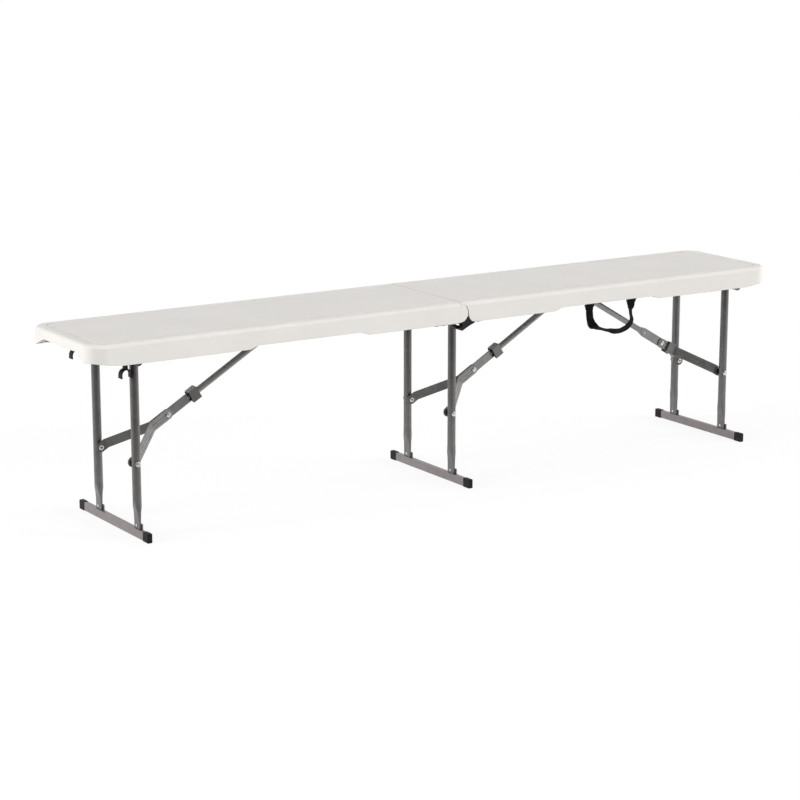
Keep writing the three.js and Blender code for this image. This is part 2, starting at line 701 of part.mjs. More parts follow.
// A leg frame with its brace. Turn is 1 where it folds towards +X and -1 where it folds back.
function legFrame(name, x, y, turn, tubeReach, collarAt) {
  const spot = place(bench, x, y, pivotHeight);
  spot.rotation.z = turn > 0 ? 0 : Math.PI;
  const floor = place(bench, x, 0, 0);
  const shift = turn * y;
  const tube = barY(tubeRadius, -tubeReach - shift, tubeReach - shift);
  addPart(spot, `${name}_cross_tube`, tube, frameMaterial);
  addPart(floor, `${name}_foot_bar`, footBar(y), frameMaterial);
  const brace = place(spot, kneeX, 0, kneeZ);
  brace.rotation.y = -braceAngle;
  for (const [end, way] of [['front', -1], ['rear', 1]]) {
    const side = way * turn;
    addPart(spot, `${name}_leg_${end}`, leg(side, turn), frameMaterial);
    addPart(spot, `${name}_arm_rivet_${end}`, armRivet(side), zincMaterial);
    addPart(brace, `${name}_brace_arm_${end}`, arm(side), frameMaterial);
    addPart(floor, `${name}_foot_cap_${end}`, footCap(way), blackPlastic);
    const hold = place(spot, 0, side * saddleY - shift, 0);
    addPart(hold, `${name}_saddle_${end}`, saddle(), frameMaterial);
  }
  addPart(brace, `${name}_knee_rivet`, kneeRivet(), zincMaterial);
  addPart(brace, `${name}_strut`, strut(), frameMaterial);
  const ring = place(brace, collarAt, 0, gap - collarPlay);
  addPart(ring, `${name}_lock_collar`, collar(), frameMaterial);
  const hanger = place(spot, strutPivotX, 0, 0);
  addPart(hanger, `${name}_strut_bracket`, strutBracket(), frameMaterial);
}

legFrame('left', leftFrameX, leftFrameY, 1, endTubeReach, collarParkedAt);
legFrame('centre', centreFrameX, rightFrameY, 1, centreTubeReach, collarParkedAt);
legFrame('right', rightFrameX, rightFrameY, -1, endTubeReach, collarLockedAt);

// Strap anchors: a plate under the raised rim with a rod between two cheeks
function strapAnchor() {
  const top = rimBottom + recessRise - gap;
  const rodZ = rimBottom + recessRise - strapRodDrop;
  const half = anchorWidth / 2;
  const deep = anchorDepth / 2;
  const plate = solid(block(-half, half, -deep, deep, top - anchorPlate, top));
  const cheek = (way) => {
    const ends = [way * half, way * (half - anchorCheek)].sort((a, b) => a - b);
    return solid(block(ends[0], ends[1], -anchorCheekDepth / 2, anchorCheekDepth / 2,
      rodZ - strapRodRadius - anchorCheek, top));
  };
  const rod = solid(barX(strapRodRadius, -half + anchorCheek / 2, half - anchorCheek / 2, 0, rodZ));
  return plate.add(cheek(-1)).add(cheek(1)).add(rod);
}

// The carry strap: flat webbing with an eye at each end, hanging in a loop that turns over
function carryStrap() {
  const rodZ = rimBottom + recessRise - strapRodDrop;
  const eyeIn = strapRodRadius + runningFit;
  const eyeOut = eyeIn + strapThickness;
  const span = strapRightX - strapLeftX;
  const start = eyeIn + strapThickness / 2;
  const pathShares = [
    [0, 0], [0.012, 0.22], [0.03, 0.46], [0.075, 0.66], [0.19, 0.79], [0.34, 0.87], [0.5, 0.93],
    [0.66, 1], [0.82, 0.96], [0.96, 0.84], [1.045, 0.7], [1.02, 0.5], [0.99, 0.3], [1, 0.14], [1, 0],
  ];
  const path = new THREE.CatmullRomCurve3(pathShares.map(([along, down]) => new THREE.Vector3(
    strapLeftX + along * span, strapY, rodZ - start - down * (strapDepth - start))));
  const turnShares = [0, 0.05, 0.28, 0.5, 0.82, 0.8, 0.64, 0.46, 0.3, 0.16, 0.12, 0.45, 0.55, 0.4, 0];
  const steps = 36;
  const ribbon = new THREE.BoxGeometry(1, strapWidth, strapThickness, steps, 1, 1);
  const spots = ribbon.attributes.position;
  const last = turnShares.length - 1;
  for (let i = 0; i < spots.count; i += 1) {
    const share = THREE.MathUtils.clamp(spots.getX(i) + 0.5, 0, 1);
    const centre = path.getPointAt(share);
    const along = path.getTangentAt(share);
    const curvePlace = path.getUtoTmapping(share) * last;
    const step = Math.min(last - 1, Math.floor(curvePlace));
    const mix = curvePlace - step;
    const ease = mix * mix * (3 - 2 * mix);
    const turnShare = THREE.MathUtils.lerp(turnShares[step], turnShares[step + 1], ease);
    const flat = new THREE.Vector3(0, -1, 0).cross(along).normalize();
    const wide = flat.clone().applyAxisAngle(along, turnShare * Math.PI / 2);
    const thick = along.clone().cross(wide);
    centre.addScaledVector(wide, spots.getY(i)).addScaledVector(thick, spots.getZ(i));
    spots.setXYZ(i, centre.x, centre.y, centre.z);
  }
  let body = solid(ribbon);
  if (body.volume() < 0) throw new Error('strap is inside out');
  for (const x of [strapLeftX, strapRightX]) {
    const ends = [x - strapWidth / 2, x + strapWidth / 2];
    body = body.add(solid(barX(eyeOut, ends[0], ends[1], strapY, rodZ, roundSteps)));
    const clear = strapWidth / 2 + overrun;
    body = body.subtract(solid(barX(eyeIn, x - clear, x + clear, strapY, rodZ, roundSteps)));
  }
  return body;
}

for (const [place_, x] of [['left', strapLeftX], ['right', strapRightX]]) {
  const spot = place(bench, x, strapY, 0);
  addPart(spot, `strap_anchor_${place_}`, strapAnchor(), blackSteel);
}
addPart(bench, 'carry_strap', carryStrap(), webbing);

export default bench;
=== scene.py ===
import json
import math

import bmesh
import bpy
from mathutils import Matrix, Vector
from mathutils.geometry import interpolate_bezier

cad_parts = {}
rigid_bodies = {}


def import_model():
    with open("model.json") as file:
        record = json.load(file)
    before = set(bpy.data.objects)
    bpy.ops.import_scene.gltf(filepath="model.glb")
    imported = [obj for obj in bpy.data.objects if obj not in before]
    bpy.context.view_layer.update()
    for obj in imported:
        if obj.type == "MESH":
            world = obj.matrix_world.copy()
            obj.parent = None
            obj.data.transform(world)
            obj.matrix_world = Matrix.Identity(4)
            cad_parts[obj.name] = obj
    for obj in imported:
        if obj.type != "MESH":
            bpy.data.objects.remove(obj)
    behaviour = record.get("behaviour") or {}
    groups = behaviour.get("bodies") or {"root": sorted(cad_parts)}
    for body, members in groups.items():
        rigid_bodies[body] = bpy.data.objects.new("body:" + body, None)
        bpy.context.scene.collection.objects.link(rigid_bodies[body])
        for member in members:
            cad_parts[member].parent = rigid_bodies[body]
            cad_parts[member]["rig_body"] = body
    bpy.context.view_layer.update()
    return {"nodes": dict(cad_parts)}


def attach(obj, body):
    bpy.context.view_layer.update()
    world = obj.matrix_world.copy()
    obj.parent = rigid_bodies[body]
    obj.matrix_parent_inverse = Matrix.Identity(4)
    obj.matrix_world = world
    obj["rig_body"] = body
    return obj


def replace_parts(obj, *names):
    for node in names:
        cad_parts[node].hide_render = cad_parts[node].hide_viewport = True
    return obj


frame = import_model()


# The camera stands where the picture was taken from: in front of the bench, past its left end
# and above it, with a long lens.
camera_lens = 105.66
camera_place = (-2.9305, -4.4137, 1.3899)
camera_turn = math.radians(-32.975)
camera_tilt = math.radians(90 - 12.891)

camera_data = bpy.data.cameras.new("camera")
camera_data.sensor_fit = "HORIZONTAL"
camera_data.sensor_width = 36
camera_data.lens = camera_lens
camera_data.clip_end = 80
camera = bpy.data.objects.new("camera", camera_data)
camera.location = camera_place
camera.rotation_euler = (camera_tilt, 0, camera_turn)
bpy.context.collection.objects.link(camera)
bpy.context.scene.camera = camera
bpy.context.scene.view_settings.view_transform = "Standard"


# The studio is a wide pale floor under an even pale sky. Its finish, and every finish after it,
# is written as sums on a Wire, with a Finish making the other nodes.
class Wire:
    def __init__(self, finish, socket):
        self.finish = finish
        self.socket = socket

    def maths(self, operation, first, second):
        return self.finish.maths(operation, first, second)

    def __add__(self, other):
        return self.maths("ADD", self, other)

    def __radd__(self, other):
        return self.maths("ADD", other, self)

    def __sub__(self, other):
        return self.maths("SUBTRACT", self, other)

    def __rsub__(self, other):
        return self.maths("SUBTRACT", other, self)

    def __mul__(self, other):
        return self.maths("MULTIPLY", self, other)

    def __rmul__(self, other):
        return self.maths("MULTIPLY", other, self)

    def __pow__(self, other):
        return self.maths("POWER", self, other)

    def __or__(self, other):
        return self.maths("MAXIMUM", self, other)

    def wave(self):
        return self.maths("PINGPONG", self, 0.5)


class Finish:
    def __init__(self, name):
        self.material = bpy.data.materials.new(name)
        self.material.use_nodes = True
        self.tree = self.material.node_tree
        self.shader = self.tree.nodes["Principled BSDF"]
        self.end = self.tree.nodes["Material Output"]

    def feed(self, socket, value):
        if isinstance(value, Wire):
            self.tree.links.new(value.socket, socket)
        else:
            socket.default_value = value

    def node(self, kind, settings=None, values=None, output=0):
        made = self.tree.nodes.new(kind)
        for key, setting in (settings or {}).items():
            setattr(made, key, setting)
        for socket, value in (values or {}).items():
            self.feed(made.inputs[socket], value)
        return Wire(self, made.outputs[output])

    def set(self, **values):
        for name, value in values.items():
            self.feed(self.shader.inputs[name.replace("_", " ")], value)

    def maths(self, operation, first, second=0.0):
        return self.node("ShaderNodeMath", {"operation": operation}, {0: first, 1: second})

    def place(self, kind="Object"):
        return self.node("ShaderNodeTexCoord", output=kind)

    def along(self, at, axis):
        return self.node("ShaderNodeSeparateXYZ", None, {0: at}, output=axis)

    def noise(self, scale, detail=2.0, rough=0.5):
        values = {"Vector": self.place(), "Scale": scale, "Detail": detail, "Roughness": rough}
        return self.node("ShaderNodeTexNoise", None, values)

    def between(self, share, low, high):
        return self.node("ShaderNodeMapRange", {"interpolation_type": "SMOOTHSTEP"},
                         {"Value": share, "From Min": low, "From Max": high})

    def blend(self, share, first, second):
        settings = {"data_type": "RGBA", "blend_type": "MIX"}
        return self.node("ShaderNodeMix", settings, {0: share, 6: first, 7: second}, output=2)

    def bump(self, height, depth, strength=1.0, under=None):
        values = {"Height": height, "Distance": depth, "Strength": strength}
        if under is not None:
            values["Normal"] = under
        return self.node("ShaderNodeBump", None, values)


# Glossy metal mirrors the room. In reflections alone, the floor and the sky grow dark towards
# the front and the left. From below, the floor is clear.
white = (1, 1, 1, 1)
dark_way = Vector((-0.50, -0.866, 0.0))
dark_level = 0.12
floor_grey = (0.5, 0.5, 0.5, 1)
floor_glow, floor_glow_share = 1.18, 0.75
floor_dark_from, floor_dark_to = 0.2, 1.6
floor_half = 24.0
sky_strength = 0.49
sky_dark_from, sky_dark_to = 0.5, 0.9


def pale_floor():
    finish = Finish("pale_floor")
    finish.set(Base_Color=floor_grey, Roughness=0.9)
    seen = finish.node("ShaderNodeLightPath", output="Is Camera Ray")
    through = finish.node("ShaderNodeLightPath", output="Is Transmission Ray")
    mirrored = finish.node("ShaderNodeLightPath", output="Is Glossy Ray")
    glow = finish.node("ShaderNodeEmission", None, {"Color": white, "Strength": floor_glow})
    lit = finish.node("ShaderNodeMixShader", None, {0: floor_glow_share * (seen | through), 2: glow})
    finish.tree.links.new(finish.shader.outputs[0], lit.socket.node.inputs[1])
    place = finish.place()
    toward_dark = dark_way.x * finish.along(place, 0) + dark_way.y * finish.along(place, 1)
    darkness = (1.0 - dark_level) * finish.between(toward_dark, floor_dark_from, floor_dark_to)
    mirror = finish.node("ShaderNodeEmission", None, {"Strength": 1.0 - darkness})
    whole = finish.node("ShaderNodeMixShader", None, {0: mirrored, 1: lit, 2: mirror})
    below = finish.node("ShaderNodeNewGeometry", output="Backfacing")
    clear = finish.node("ShaderNodeBsdfTransparent")
    sheet = finish.node("ShaderNodeMixShader", None, {0: below, 1: whole, 2: clear})
    finish.tree.links.new(sheet.socket, finish.end.inputs["Surface"])
    return finish.material


floor_shape = bmesh.new()
bmesh.ops.create_grid(floor_shape, x_segments=1, y_segments=1, size=floor_half)
floor_mesh = bpy.data.meshes.new("floor")
floor_shape.to_mesh(floor_mesh)
floor_shape.free()
floor_mesh.materials.append(pale_floor())
floor = bpy.data.objects.new("floor", floor_mesh)
bpy.context.collection.objects.link(floor)

sky = bpy.data.worlds.new("sky")
bpy.context.scene.world = sky
sky.use_nodes = True
sky_nodes = sky.node_tree.nodes
sky_links = sky.node_tree.links
sky_light = sky_nodes["Background"]
sky_white = sky_nodes.new("ShaderNodeBackground")
sky_mirror = sky_nodes.new("ShaderNodeBackground")
for background in (sky_light, sky_white, sky_mirror):
    background.inputs["Color"].default_value = white
sky_light.inputs["Strength"].default_value = sky_strength
ray = sky_nodes.new("ShaderNodeLightPath")
toward = sky_nodes.new("ShaderNodeVectorMath")
toward.operation = "DOT_PRODUCT"
toward.inputs[1].default_value = dark_way
way = sky_nodes.new("ShaderNodeTexCoord")
level = sky_nodes.new("ShaderNodeMapRange")
level.interpolation_type = "SMOOTHSTEP"
level.inputs["From Min"].default_value = sky_dark_from
level.inputs["From Max"].default_value = sky_dark_to
level.inputs["To Min"].default_value = 1.0
level.inputs["To Max"].default_value = dark_level
seen = sky_nodes.new("ShaderNodeMath")
seen.operation = "MAXIMUM"
seen_mix = sky_nodes.new("ShaderNodeMixShader")
mirror_mix = sky_nodes.new("ShaderNodeMixShader")
sky_links.new(way.outputs["Generated"], toward.inputs[0])
sky_links.new(toward.outputs["Value"], level.inputs["Value"])
sky_links.new(level.outputs["Result"], sky_mirror.inputs["Strength"])
sky_links.new(ray.outputs["Is Camera Ray"], seen.inputs[0])
sky_links.new(ray.outputs["Is Transmission Ray"], seen.inputs[1])
sky_links.new(seen.outputs[0], seen_mix.inputs[0])
sky_links.new(sky_light.outputs[0], seen_mix.inputs[1])
sky_links.new(sky_white.outputs[0], seen_mix.inputs[2])
sky_links.new(ray.outputs["Is Glossy Ray"], mirror_mix.inputs[0])
sky_links.new(seen_mix.outputs[0], mirror_mix.inputs[1])
sky_links.new(sky_mirror.outputs[0], mirror_mix.inputs[2])
sky_links.new(mirror_mix.outputs[0], sky_nodes["World Output"].inputs["Surface"])


# Two broad soft lamps stand far off, one past the left end and one in front to the right.
# Neither shows in reflections.
def far_lamp(name, came_from, strength, spread):
    data = bpy.data.lights.new(name, "SUN")
    data.energy = strength
    data.angle = math.radians(spread)
    lamp = bpy.data.objects.new(name, data)
    lamp.rotation_euler = Vector(came_from).to_track_quat("Z", "Y").to_euler()
    lamp.visible_glossy = False
    bpy.context.collection.objects.link(lamp)


far_lamp("left_lamp", (-0.95, 0.08, 0.25), strength=3.0, spread=24)
far_lamp("front_lamp", (0.74, -0.62, 0.20), strength=3.2, spread=24)


# The two seat halves are blow moulded in off-white polyethylene, with a fine pebble grain on
# the skin and the slow waves of a hollow moulding. The mould leaves a small radius on the edges.
# It is full on the seam's flanks, slight on its top, missing on its lip and half elsewhere.
sharp_angle = math.radians(32)
weld_reach = 2e-6
flat_angle = math.radians(0.4)
seat_radius = 0.0016
seat_sharp_angle = math.radians(62)
seam_shares = {"top": 0.25, "lip": 0.0, "flank": 1.0, "other": 0.5}
seam_reach = 0.0215
seam_side, seam_top, seam_lip = 0.1505, 0.4295, 0.4265


def add_piece(name, mesh, finish, body):
    mesh.materials.clear()
    mesh.materials.append(finish)
    piece = bpy.data.objects.new(name, mesh)
    bpy.context.collection.objects.link(piece)
    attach(piece, body)
    return piece


def shade(shape, angle=sharp_angle):
    for face in shape.faces:
        face.smooth = True
    for edge in shape.edges:
        edge.smooth = len(edge.link_faces) == 2 and edge.calc_face_angle(0) < angle


def seat_edge(corners):
    lowest = min(corner.z for corner in corners)
    if max(abs(corner.x) for corner in corners) >= seam_reach:
        part = "other"
    elif lowest > seam_top:
        part = "top"
    elif lowest > seam_lip:
        part = "lip"
    elif min(abs(corner.y) for corner in corners) > seam_side:
        part = "flank"
    else:
        part = "other"
    return seam_shares[part]


def mark_edges(shape, angle, share_of):
    weight = shape.edges.layers.float.new("bevel_weight_edge")
    for edge in shape.edges:
        if len(edge.link_faces) == 2 and edge.is_convex and edge.calc_face_angle(0) > angle:
            corners = [corner.co for corner in edge.verts]
            edge[weight] = share_of(corners) if share_of else 1.0


def round_edges(piece, width, segments):
    bevel = piece.modifiers.new("edge_break", "BEVEL")
    bevel.width = width
    bevel.segments = segments
    bevel.limit_method = "WEIGHT"
    bevel.use_clamp_overlap = False
    even = piece.modifiers.new("even_normals", "WEIGHTED_NORMAL")
    even.keep_sharp = True
    even.weight = 60


def finished(node, finish, edge=0.0, segments=2, angle=sharp_angle, share_of=None):
    source = frame["nodes"][node]
    mesh = source.data.copy()
    mesh.name = f"{node}_surface"
    shape = bmesh.new()
    shape.from_mesh(mesh)
    bmesh.ops.remove_doubles(shape, verts=shape.verts, dist=weld_reach)
    bmesh.ops.dissolve_limit(shape, angle_limit=flat_angle, verts=shape.verts,
                             edges=shape.edges, use_dissolve_boundaries=False)
    shade(shape, angle)
    mark_edges(shape, angle, share_of)
    shape.to_mesh(mesh)
    shape.free()
    piece = add_piece(f"{node}_surface", mesh, finish, source["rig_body"])
    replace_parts(piece, node)
    if edge:
        round_edges(piece, edge, segments)
    return piece


groove_end, groove_side, groove_corner = 0.890, 0.126, 0.017
groove_fade = (0.0014, 0.0042)
seam_fade = (0.0005, 0.0022)
panel_fade = (0.4205, 0.4235)
nose_side_fade = (0.1488, 0.1494)
nose_outer_fade = (0.1504, 0.1509)
nose_end_fade = (0.022, 0.023)
nose_top_fade = (0.417, 0.420)
skin_dark, skin_light = (0.686, 0.666, 0.638, 1), (0.710, 0.688, 0.657, 1)
skin_cloud = (0.672, 0.640, 0.616, 1)
groove_shadow = (0.58, 0.545, 0.52, 1)
seam_shadow = (0.42, 0.32, 0.28, 1)
nose_shadow = (0.26, 0.19, 0.15, 1)


def moulded_skin():
    finish = Finish("moulded_polyethylene")
    slow = finish.noise(7.0, 3.0, 0.55)
    cloud = finish.noise(34.0, 4.0, 0.6)
    grain = finish.noise(1500.0, 3.0, 0.65)
    pores = finish.noise(620.0, 2.0, 0.5)
    colour = finish.blend(finish.between(slow, 0.3, 0.7), skin_dark, skin_light)
    colour = finish.blend(finish.between(cloud, 0.35, 0.8) * 0.3, colour, skin_cloud)
    place = finish.place()
    from_seam = finish.maths("ABSOLUTE", finish.along(place, 0))
    from_middle = finish.maths("ABSOLUTE", finish.along(place, 1))
    height = finish.along(place, 2)
    reach_x = from_seam - (groove_end - groove_corner)
    reach_y = from_middle - (groove_side - groove_corner)
    out_x, out_y = reach_x | 0.0, reach_y | 0.0
    inner = finish.maths("MINIMUM", reach_x | reach_y, 0.0)
    out = (out_x * out_x + out_y * out_y) ** 0.5
    from_groove = finish.maths("ABSOLUTE", out + inner - groove_corner)
    in_groove = 1.0 - finish.between(from_groove, *groove_fade)
    in_seam = 1.0 - finish.between(from_seam, *seam_fade)
    in_nose = finish.between(from_middle, *nose_side_fade)
    in_nose = in_nose * (1.0 - finish.between(from_middle, *nose_outer_fade))
    in_nose = in_nose * (1.0 - finish.between(from_seam, *nose_end_fade))
    in_nose = in_nose * (1.0 - finish.between(height, *nose_top_fade))
    on_top = finish.between(height, *panel_fade)
    colour = finish.blend(on_top * in_groove * 0.5, colour, groove_shadow)
    colour = finish.blend(on_top * in_seam * 0.6, colour, seam_shadow)
    colour = finish.blend(in_nose * 0.8, colour, nose_shadow)
    normal = finish.bump(slow, depth=0.004, strength=0.22)
    normal = finish.bump(0.7 * grain + 0.3 * pores, depth=0.00028, strength=0.5, under=normal)
    finish.set(Base_Color=colour, Roughness=0.38 + 0.14 * pores, Normal=normal,
               Specular_IOR_Level=0.4)
    return finish.material


seat_skin = moulded_skin()
for side in ("left", "right"):
    finished(f"seat_half_{side}", seat_skin, seat_radius, segments=3,
             angle=seat_sharp_angle, share_of=seat_edge)


# Each leg frame is two legs of thin-walled tube welded to a cross tube, pressed flat at the
# feet and riveted to a foot bar. All of it has one warm grey powder coat with a faint orange
# peel. The foot bars have a lighter, rougher copy with more peel; its lighter grey is painted
# light, for the light that falls on their faces.
frame_names = ("left", "centre", "right")
ends = ("front", "rear")
cross_tube_edge = 0.0006
leg_edge = 0.0004
leg_sharp_angle = math.radians(44)
dust_grey = (0.34, 0.32, 0.31, 1)


def powder_coat(name, dark, light, peel, rough, metal):
    finish = Finish(name)
    skin = finish.noise(900.0, 2.0, 0.5)
    slow = finish.noise(48.0, 3.0, 0.55)
    dust = finish.noise(240.0, 4.0, 0.65)
    colour = finish.blend(finish.between(slow, 0.3, 0.7), dark, light)
    colour = finish.blend(finish.between(dust, 0.62, 0.85) * 0.15, colour, dust_grey)
    finish.set(Base_Color=colour, Roughness=rough + 0.10 * slow, Metallic=metal,
               Normal=finish.bump(skin, depth=0.0002, strength=peel))
    return finish.material


leg_grey = powder_coat("grey_powder_coat", (0.150, 0.144, 0.142, 1), (0.182, 0.173, 0.170, 1),
                       peel=0.16, rough=0.21, metal=0.68)
# The foot bars' lighter grey is painted light, for the light that falls on them.
foot_bar_lit_grey = powder_coat("foot_bar_painted_light_coat", (0.230, 0.203, 0.207, 1), (0.265, 0.235, 0.239, 1),
                        peel=0.4, rough=0.36, metal=0.6)
for name in frame_names:
    finished(f"{name}_cross_tube", leg_grey, cross_tube_edge)
    finished(f"{name}_foot_bar", foot_bar_lit_grey)
    for end in ends:
        finished(f"{name}_leg_{end}", leg_grey, leg_edge, angle=leg_sharp_angle)


# The braces are two pressed sheet arms from the legs to a knee, and a strut of smaller tube
# pressed flat towards it. A strip-steel collar slides over the knee to lock it straight. Struts
# and arms have greys of their own, set by their tones in the picture. The front arms' lighter
# grey is painted light, and the rear arms' darker grey is painted shade from the seat above.
strut_edge = 0.0004
strut_sharp_angle = math.radians(40)
collar_edge = 0.0006
arm_edge = 0.00025
saddle_edge = 0.0005
brace_grey = powder_coat("brace_powder_coat", (0.170, 0.165, 0.160, 1), (0.204, 0.198, 0.190, 1),
                         peel=0.12, rough=0.17, metal=0.8)
strut_grey = powder_coat("strut_powder_coat", (0.235, 0.229, 0.222, 1), (0.275, 0.268, 0.260, 1),
                         peel=0.10, rough=0.16, metal=0.8)
# Painted light and shade: one coat, lighter and less metallic on the front arms, darker on the rear
# arms for the seat's shade.
front_arm_lit_grey = powder_coat("front_arm_painted_light_coat", (0.230, 0.222, 0.215, 1),
                             (0.275, 0.267, 0.258, 1), peel=0.12, rough=0.24, metal=0.3)
rear_arm_shaded_grey = powder_coat("rear_arm_painted_shade_coat", (0.100, 0.096, 0.093, 1),
                            (0.130, 0.125, 0.121, 1), peel=0.12, rough=0.20, metal=0.7)
arm_greys = {"front": front_arm_lit_grey, "rear": rear_arm_shaded_grey}
for name in frame_names:
    finished(f"{name}_strut", strut_grey, strut_edge, angle=strut_sharp_angle)
    finished(f"{name}_lock_collar", brace_grey, collar_edge, segments=3)
    finished(f"{name}_strut_bracket", brace_grey)
    for end in ends:
        finished(f"{name}_brace_arm_{end}", arm_greys[end], arm_edge)
        finished(f"{name}_saddle_{end}", brace_grey, saddle_edge)


# Rivets are cold-headed steel with a bright zinc plating: one through each leg and its brace
# arm, and one through both arms and the strut at the knee.
def zinc_plate():
    finish = Finish("bright_zinc")
    fine = finish.noise(700.0, 3.0, 0.6)
    slow = finish.noise(160.0, 2.0, 0.5)
    colour = finish.blend(slow, (0.62, 0.63, 0.65, 1), (0.80, 0.80, 0.79, 1))
    finish.set(Base_Color=colour, Roughness=0.2 + 0.16 * fine, Metallic=1.0,
               Normal=finish.bump(fine, depth=0.0001, strength=0.4))
    return finish.material


turned_sharp_angle = math.radians(50)


def turned_mesh(name, profile, steps, place):
    shape = bmesh.new()
    line = [shape.verts.new((radius, 0, height)) for radius, height in profile]
    edges = [shape.edges.new(pair) for pair in zip(line, line[1:])]
    bmesh.ops.spin(shape, geom=line + edges, cent=(0, 0, 0), axis=(0, 0, 1), angle=math.tau,
                   steps=steps, use_duplicate=False, use_merge=True)
    bmesh.ops.remove_doubles(shape, verts=shape.verts, dist=weld_reach)
    bmesh.ops.recalc_face_normals(shape, faces=shape.faces)
    shade(shape, turned_sharp_angle)
    shape.transform(place)
    mesh = bpy.data.meshes.new(name)
    shape.to_mesh(mesh)
    shape.free()
    return mesh


def facing(x, y, z, way):
    return Matrix.Translation((x, y, z)) @ Matrix.Rotation(way * math.pi / 2, 4, "X")


def dome(radius, rise, base):
    shares = ((1, 0), (1, 0.22), (0.95, 0.5), (0.82, 0.76), (0.6, 0.92), (0.32, 0.99), (0, 1))
    return [(radius * out, base + rise * up) for out, up in shares]


zinc = zinc_plate()
frame_places = {"left": (-0.7975, -0.017), "centre": (0.018, 0.006), "right": (0.828, 0.006)}
frame_turns = {"left": 1, "centre": 1, "right": -1}
leg_reach = 0.092
pivot_z = 0.383
arm_pivot_z = 0.161
knee_x, knee_z = 0.12285, 0.23340
head_radius, head_rise, shank_radius = 0.006, 0.0022, 0.003
knee_face = 0.00515
leg_face = 0.1018
shank_end = 0.08235
turned_steps, small_turned_steps = 28, 20
knee_half = [(shank_radius, knee_face)] + dome(head_radius, head_rise, knee_face)
knee_profile = [(radius, -height) for radius, height in reversed(knee_half)] + knee_half
arm_profile = [(0, shank_end), (shank_radius, shank_end), (shank_radius, leg_face)]
arm_profile += dome(head_radius, head_rise, leg_face)
for name, (frame_x, frame_y) in frame_places.items():
    knee = turned_mesh(f"{name}_knee_rivet", knee_profile, turned_steps,
                       facing(frame_x + frame_turns[name] * knee_x, frame_y, knee_z, 1))
    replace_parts(add_piece(f"{name}_knee_rivet_turned", knee, zinc, f"{name}_brace_arms"),
                f"{name}_knee_rivet")
    for end, way in (("front", 1), ("rear", -1)):
        rivet = turned_mesh(f"{name}_arm_rivet_{end}", arm_profile, turned_steps,
                            facing(frame_x, frame_y, arm_pivot_z, way))
        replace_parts(add_piece(f"{name}_arm_rivet_{end}_turned", rivet, zinc, f"{name}_leg_frame"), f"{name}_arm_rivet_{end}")


# Each leg is fixed to its foot bar by a small zinc rivet through the pressed end and the tab
# behind it, with a low head on both sides.
foot_rivet_z = 0.0271
foot_rivet_faces = (-0.00235, 0.00435)
foot_head_radius, foot_head_rise = 0.0031, 0.0017
foot_head_profile = [(0.0, 0.0)] + dome(foot_head_radius, foot_head_rise, 0.0)
for name, (frame_x, frame_y) in frame_places.items():
    together = bmesh.new()
    for leg_way in (-1, 1):
        for face in foot_rivet_faces:
            way = math.copysign(1, face)
            spot = (frame_x + face, frame_y + leg_way * leg_reach, foot_rivet_z)
            place = Matrix.Translation(spot) @ Matrix.Rotation(way * math.pi / 2, 4, "Y")
            together.from_mesh(turned_mesh("head", foot_head_profile, small_turned_steps, place))
    mesh = bpy.data.meshes.new(f"{name}_foot_rivets")
    together.to_mesh(mesh)
    together.free()
    add_piece(f"{name}_foot_rivets", mesh, zinc, f"{name}_leg_frame")


# Where an arm meets its leg, the rivet is rolled over into an eyelet on the arm's inner face,
# and a black nylon spacer keeps the arm off the tube. A black disc in each eyelet's hollow is
# painted shade.
eyelet_face = 0.0747
eyelet_radius, eyelet_bore = 0.0061, 0.0020
hollow_radius, hollow_top, hollow_base = 0.0022, 0.0024, 0.0015
spacer_out = 0.08225
spacer_in = 0.07765
spacer_radius, spacer_bore = 0.0071, 0.0033
spacer_bevel_in, spacer_bevel_down = 0.0004, 0.0005


def black_moulding():
    finish = Finish("black_moulding")
    grain = finish.noise(1400.0, 3.0, 0.6)
    dust = finish.noise(70.0, 4.0, 0.6)
    colour = finish.blend(finish.between(dust, 0.35, 0.8),
                          (0.005, 0.005, 0.005, 1), (0.014, 0.013, 0.012, 1))
    finish.set(Base_Color=colour, Roughness=0.46 + 0.2 * grain, Specular_IOR_Level=0.22,
               Normal=finish.bump(grain, depth=0.0002, strength=0.5))
    return finish.material


black_plastic = black_moulding()
eyelet_profile = [(eyelet_radius, 0.0), (eyelet_radius, 0.0012), (0.0056, 0.0022),
                  (0.0045, 0.0028), (0.0033, 0.0029), (0.0024, 0.0026), (eyelet_bore, 0.0019),
                  (eyelet_bore, 0.0), (eyelet_radius, 0.0)]
hollow_profile = [(0.0, hollow_top), (hollow_radius, hollow_top), (hollow_radius, hollow_base),
                  (0.0, hollow_base)]
spacer_depth = spacer_out - spacer_in
spacer_profile = [(spacer_bore, 0.0), (spacer_radius - spacer_bevel_in, 0.0),
                  (spacer_radius, spacer_bevel_down),
                  (spacer_radius, spacer_depth - spacer_bevel_down),
                  (spacer_radius - spacer_bevel_in, spacer_depth),
                  (spacer_bore, spacer_depth), (spacer_bore, 0.0)]
for name, (frame_x, frame_y) in frame_places.items():
    for end, way in (("front", -1), ("rear", 1)):
        inward = facing(frame_x, frame_y + way * eyelet_face, arm_pivot_z, way)
        ring = turned_mesh(f"{name}_eyelet_{end}", eyelet_profile, turned_steps, inward)
        add_piece(f"{name}_eyelet_{end}", ring, zinc, f"{name}_brace_arms")
        # A black disc in the eyelet's hollow is painted shade, not a part.
        hollow = turned_mesh(f"{name}_eyelet_hollow_{end}", hollow_profile, small_turned_steps,
                             inward)
        add_piece(f"{name}_eyelet_hollow_{end}", hollow, black_plastic,
                  f"{name}_brace_arms")
        outward = facing(frame_x, frame_y + way * spacer_out, arm_pivot_z, way)
        spacer = turned_mesh(f"{name}_spacer_{end}", spacer_profile, turned_steps, outward)
        add_piece(f"{name}_spacer_{end}", spacer, black_plastic, f"{name}_leg_frame")


